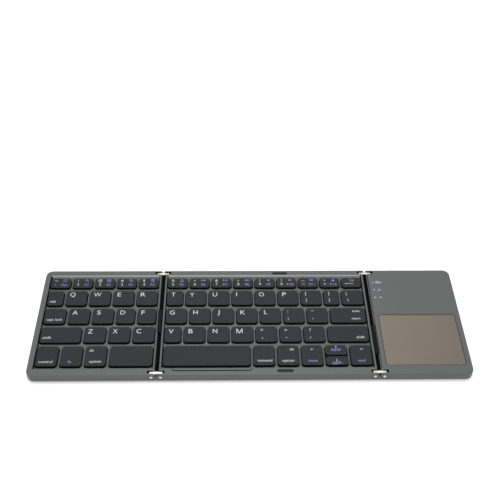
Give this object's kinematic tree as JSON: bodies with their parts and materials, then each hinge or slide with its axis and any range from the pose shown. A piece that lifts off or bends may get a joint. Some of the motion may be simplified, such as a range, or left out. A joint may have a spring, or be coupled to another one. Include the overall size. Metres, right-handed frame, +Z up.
{
  "type": "folding keyboard",
  "caption": "Slim three-panel keyboard with low black keys and a touchpad; both side panels fold up and over the middle one on double-pivot links.",
  "frame": {"origin": "under the middle of the open keyboard, on the surface its feet stand on", "axes": "+X to the right along the rows of keys, +Y to the rear, +Z up"},
  "size_m": [0.3046, 0.098, 0.0082],
  "materials": {
    "shell": "fine satin grey-green paint on moulded plastic",
    "keycap": "fine matt near-black moulding with printed legends",
    "hinge_metal": "bright polished metal",
    "steel": "plain steel sheet, screws and socket shell",
    "rubber": "matt black rubber",
    "touchpad": "smooth taupe plate",
    "circuit_board": "green solder mask",
    "film": "translucent white film and mouldings",
    "silicone": "milky silicone",
    "battery_foil": "silver pouch foil",
    "copper_film": "amber polyimide film",
    "light_lens": "clear diffusing plastic"
  },
  "bodies": {
    "middle_panel": {"middle_bottom_cover": "shell", "middle_top_cover": "shell", "middle_support_plate": "steel", "middle_membrane": "film", "middle_dome_sheet": "silicone", "middle_scissors": "film", "middle_feet": "rubber", "middle_screws": "steel", "middle_hinge_pins": "hinge_metal", "rim_pads": "rubber"},
    "left_links": {"left_hinge_links": "hinge_metal", "left_cable_strip": "rubber", "left_flat_cable": "copper_film"},
    "left_panel": {"left_bottom_cover": "shell", "left_top_cover": "shell", "left_support_plate": "steel", "left_membrane": "film", "left_dome_sheet": "silicone", "left_scissors": "film", "left_feet": "rubber", "left_screws": "steel", "left_hinge_pins": "hinge_metal"},
    "right_links": {"right_hinge_links": "hinge_metal", "right_cable_strip": "rubber", "right_flat_cable": "copper_film"},
    "right_panel": {"right_bottom_cover": "shell", "right_top_cover": "shell", "touchpad_plate": "touchpad", "touchpad_board": "circuit_board", "main_board": "circuit_board", "battery": "battery_foil", "charging_port": "steel", "status_lights": "light_lens", "right_feet": "rubber", "right_screws": "steel", "right_hinge_pins": "hinge_metal"},
    "left_number_keys": {"left_number_keys": "keycap"},
    "tab_key": {"tab_key": "keycap"},
    "qwer_keys": {"qwer_keys": "keycap"},
    "caps_lock_key": {"caps_lock_key": "keycap"},
    "asdf_keys": {"asdf_keys": "keycap"},
    "left_shift_key": {"left_shift_key": "keycap"},
    "zxc_keys": {"zxc_keys": "keycap"},
    "control_key": {"control_key": "keycap"},
    "fn_key": {"fn_key": "keycap"},
    "left_option_key": {"left_option_key": "keycap"},
    "left_space_key": {"left_space_key": "keycap"},
    "middle_number_keys": {"middle_number_keys": "keycap"},
    "backspace_key": {"backspace_key": "keycap"},
    "upper_letter_keys": {"upper_letter_keys": "keycap"},
    "home_letter_keys": {"home_letter_keys": "keycap"},
    "enter_key": {"enter_key": "keycap"},
    "lower_letter_keys": {"lower_letter_keys": "keycap"},
    "right_shift_key": {"right_shift_key": "keycap"},
    "space_key": {"space_key": "keycap"},
    "right_modifier_keys": {"right_modifier_keys": "keycap"},
    "left_arrow_key": {"left_arrow_key": "keycap"},
    "up_arrow_key": {"up_arrow_key": "keycap"},
    "down_arrow_key": {"down_arrow_key": "keycap"},
    "right_arrow_key": {"right_arrow_key": "keycap"}
  },
  "joints": [
    {"name": "left_link_hinge", "type": "hinge", "parent": "middle_panel", "child": "left_links", "pos_m": [-0.0614, 0, 0.0049], "axis": [0, 1, 0], "range_deg": [0, 90], "deforming": ["left_cable_strip", "left_flat_cable"]},
    {"name": "left_panel_hinge", "type": "hinge", "parent": "left_links", "child": "left_panel", "pos_m": [-0.0678, 0, 0.0049], "axis": [0, 1, 0], "range_deg": [0, 90], "deforming": ["left_cable_strip", "left_flat_cable"]},
    {"name": "right_link_hinge", "type": "hinge", "parent": "middle_panel", "child": "right_links", "pos_m": [0.0847, 0, 0.0049], "axis": [0, -1, 0], "range_deg": [0, 90], "deforming": ["right_cable_strip", "right_flat_cable"]},
    {"name": "right_panel_hinge", "type": "hinge", "parent": "right_links", "child": "right_panel", "pos_m": [0.0911, 0, 0.0049], "axis": [0, -1, 0], "range_deg": [0, 90], "deforming": ["right_cable_strip", "right_flat_cable"]},
    {"name": "left_number_keys_press", "type": "slide", "parent": "left_panel", "child": "left_number_keys", "axis": [0, 0, 1], "range_m": [-0.0012, 0], "stiffness_N_per_m": 300, "springref_m": 0.0006, "deforming": ["left_dome_sheet", "left_scissors"]},
    {"name": "tab_key_press", "type": "slide", "parent": "left_panel", "child": "tab_key", "axis": [0, 0, 1], "range_m": [-0.0012, 0], "stiffness_N_per_m": 300, "springref_m": 0.0006, "deforming": ["left_dome_sheet", "left_scissors"]},
    {"name": "qwer_keys_press", "type": "slide", "parent": "left_panel", "child": "qwer_keys", "axis": [0, 0, 1], "range_m": [-0.0012, 0], "stiffness_N_per_m": 300, "springref_m": 0.0006, "deforming": ["left_dome_sheet", "left_scissors"]},
    {"name": "caps_lock_key_press", "type": "slide", "parent": "left_panel", "child": "caps_lock_key", "axis": [0, 0, 1], "range_m": [-0.0012, 0], "stiffness_N_per_m": 300, "springref_m": 0.0006, "deforming": ["left_dome_sheet", "left_scissors"]},
    {"name": "asdf_keys_press", "type": "slide", "parent": "left_panel", "child": "asdf_keys", "axis": [0, 0, 1], "range_m": [-0.0012, 0], "stiffness_N_per_m": 300, "springref_m": 0.0006, "deforming": ["left_dome_sheet", "left_scissors"]},
    {"name": "left_shift_key_press", "type": "slide", "parent": "left_panel", "child": "left_shift_key", "axis": [0, 0, 1], "range_m": [-0.0012, 0], "stiffness_N_per_m": 300, "springref_m": 0.0006, "deforming": ["left_dome_sheet", "left_scissors"]},
    {"name": "zxc_keys_press", "type": "slide", "parent": "left_panel", "child": "zxc_keys", "axis": [0, 0, 1], "range_m": [-0.0012, 0], "stiffness_N_per_m": 300, "springref_m": 0.0006, "deforming": ["left_dome_sheet", "left_scissors"]},
    {"name": "control_key_press", "type": "slide", "parent": "left_panel", "child": "control_key", "axis": [0, 0, 1], "range_m": [-0.0012, 0], "stiffness_N_per_m": 300, "springref_m": 0.0006, "deforming": ["left_dome_sheet", "left_scissors"]},
    {"name": "fn_key_press", "type": "slide", "parent": "left_panel", "child": "fn_key", "axis": [0, 0, 1], "range_m": [-0.0012, 0], "stiffness_N_per_m": 300, "springref_m": 0.0006, "deforming": ["left_dome_sheet", "left_scissors"]},
    {"name": "left_option_key_press", "type": "slide", "parent": "left_panel", "child": "left_option_key", "axis": [0, 0, 1], "range_m": [-0.0012, 0], "stiffness_N_per_m": 300, "springref_m": 0.0006, "deforming": ["left_dome_sheet", "left_scissors"]},
    {"name": "left_space_key_press", "type": "slide", "parent": "left_panel", "child": "left_space_key", "axis": [0, 0, 1], "range_m": [-0.0012, 0], "stiffness_N_per_m": 300, "springref_m": 0.0006, "deforming": ["left_dome_sheet", "left_scissors"]},
    {"name": "middle_number_keys_press", "type": "slide", "parent": "middle_panel", "child": "middle_number_keys", "axis": [0, 0, 1], "range_m": [-0.0012, 0], "stiffness_N_per_m": 300, "springref_m": 0.0006, "deforming": ["middle_dome_sheet", "middle_scissors"]},
    {"name": "backspace_key_press", "type": "slide", "parent": "middle_panel", "child": "backspace_key", "axis": [0, 0, 1], "range_m": [-0.0012, 0], "stiffness_N_per_m": 300, "springref_m": 0.0006, "deforming": ["middle_dome_sheet", "middle_scissors"]},
    {"name": "upper_letter_keys_press", "type": "slide", "parent": "middle_panel", "child": "upper_letter_keys", "axis": [0, 0, 1], "range_m": [-0.0012, 0], "stiffness_N_per_m": 300, "springref_m": 0.0006, "deforming": ["middle_dome_sheet", "middle_scissors"]},
    {"name": "home_letter_keys_press", "type": "slide", "parent": "middle_panel", "child": "home_letter_keys", "axis": [0, 0, 1], "range_m": [-0.0012, 0], "stiffness_N_per_m": 300, "springref_m": 0.0006, "deforming": ["middle_dome_sheet", "middle_scissors"]},
    {"name": "enter_key_press", "type": "slide", "parent": "middle_panel", "child": "enter_key", "axis": [0, 0, 1], "range_m": [-0.0012, 0], "stiffness_N_per_m": 300, "springref_m": 0.0006, "deforming": ["middle_dome_sheet", "middle_scissors"]},
    {"name": "lower_letter_keys_press", "type": "slide", "parent": "middle_panel", "child": "lower_letter_keys", "axis": [0, 0, 1], "range_m": [-0.0012, 0], "stiffness_N_per_m": 300, "springref_m": 0.0006, "deforming": ["middle_dome_sheet", "middle_scissors"]},
    {"name": "right_shift_key_press", "type": "slide", "parent": "middle_panel", "child": "right_shift_key", "axis": [0, 0, 1], "range_m": [-0.0012, 0], "stiffness_N_per_m": 300, "springref_m": 0.0006, "deforming": ["middle_dome_sheet", "middle_scissors"]},
    {"name": "space_key_press", "type": "slide", "parent": "middle_panel", "child": "space_key", "axis": [0, 0, 1], "range_m": [-0.0012, 0], "stiffness_N_per_m": 300, "springref_m": 0.0006, "deforming": ["middle_dome_sheet", "middle_scissors"]},
    {"name": "right_modifier_keys_press", "type": "slide", "parent": "middle_panel", "child": "right_modifier_keys", "axis": [0, 0, 1], "range_m": [-0.0012, 0], "stiffness_N_per_m": 300, "springref_m": 0.0006, "deforming": ["middle_dome_sheet", "middle_scissors"]},
    {"name": "left_arrow_key_press", "type": "slide", "parent": "middle_panel", "child": "left_arrow_key", "axis": [0, 0, 1], "range_m": [-0.0012, 0], "stiffness_N_per_m": 300, "springref_m": 0.0006, "deforming": ["middle_dome_sheet", "middle_scissors"]},
    {"name": "up_arrow_key_press", "type": "slide", "parent": "middle_panel", "child": "up_arrow_key", "axis": [0, 0, 1], "range_m": [-0.0012, 0], "stiffness_N_per_m": 300, "springref_m": 0.0006, "deforming": ["middle_dome_sheet", "middle_scissors"]},
    {"name": "down_arrow_key_press", "type": "slide", "parent": "middle_panel", "child": "down_arrow_key", "axis": [0, 0, 1], "range_m": [-0.0012, 0], "stiffness_N_per_m": 300, "springref_m": 0.0006, "deforming": ["middle_dome_sheet", "middle_scissors"]},
    {"name": "right_arrow_key_press", "type": "slide", "parent": "middle_panel", "child": "right_arrow_key", "axis": [0, 0, 1], "range_m": [-0.0012, 0], "stiffness_N_per_m": 300, "springref_m": 0.0006, "deforming": ["middle_dome_sheet", "middle_scissors"]}
  ]
}
